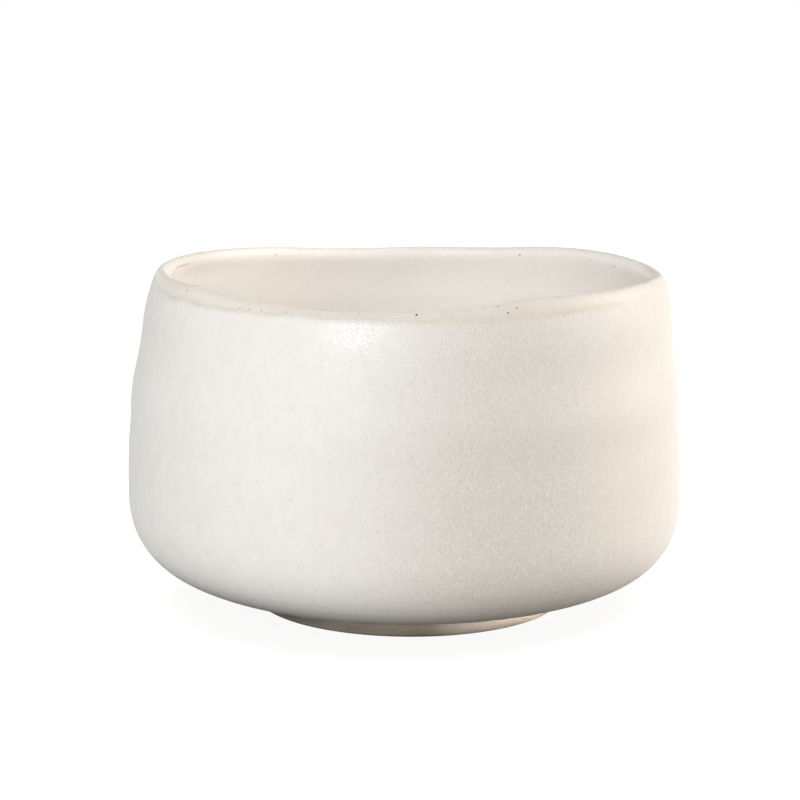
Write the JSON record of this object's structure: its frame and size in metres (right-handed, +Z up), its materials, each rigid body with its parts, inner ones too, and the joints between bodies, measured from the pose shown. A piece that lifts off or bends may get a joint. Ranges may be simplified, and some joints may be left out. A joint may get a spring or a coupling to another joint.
{
  "type": "tea bowl",
  "caption": "Hand-thrown stoneware tea bowl with a full rounded heel, a gently wavy lip and a low foot ring, cream glaze inside and over the lip, white satin glaze outside.",
  "frame": {"origin": "On the axis of the belly, in the plane that the foot stands on.", "axes": "+Z up through the mouth, +X to the right and +Y away from the viewer as the bowl is pictured."},
  "size_m": [0.12, 0.12, 0.0732],
  "materials": {
    "body_clay": "matte",
    "foot_clay": "matte",
    "slip": "matte",
    "cream_glaze": "satin",
    "white_glaze": "satin"
  },
  "bodies": {
    "root": {"clay_body": "body_clay", "foot_ring": "foot_clay", "foot_slip": "slip", "inner_glaze": "cream_glaze", "outer_glaze": "white_glaze"}
  },
  "joints": []
}
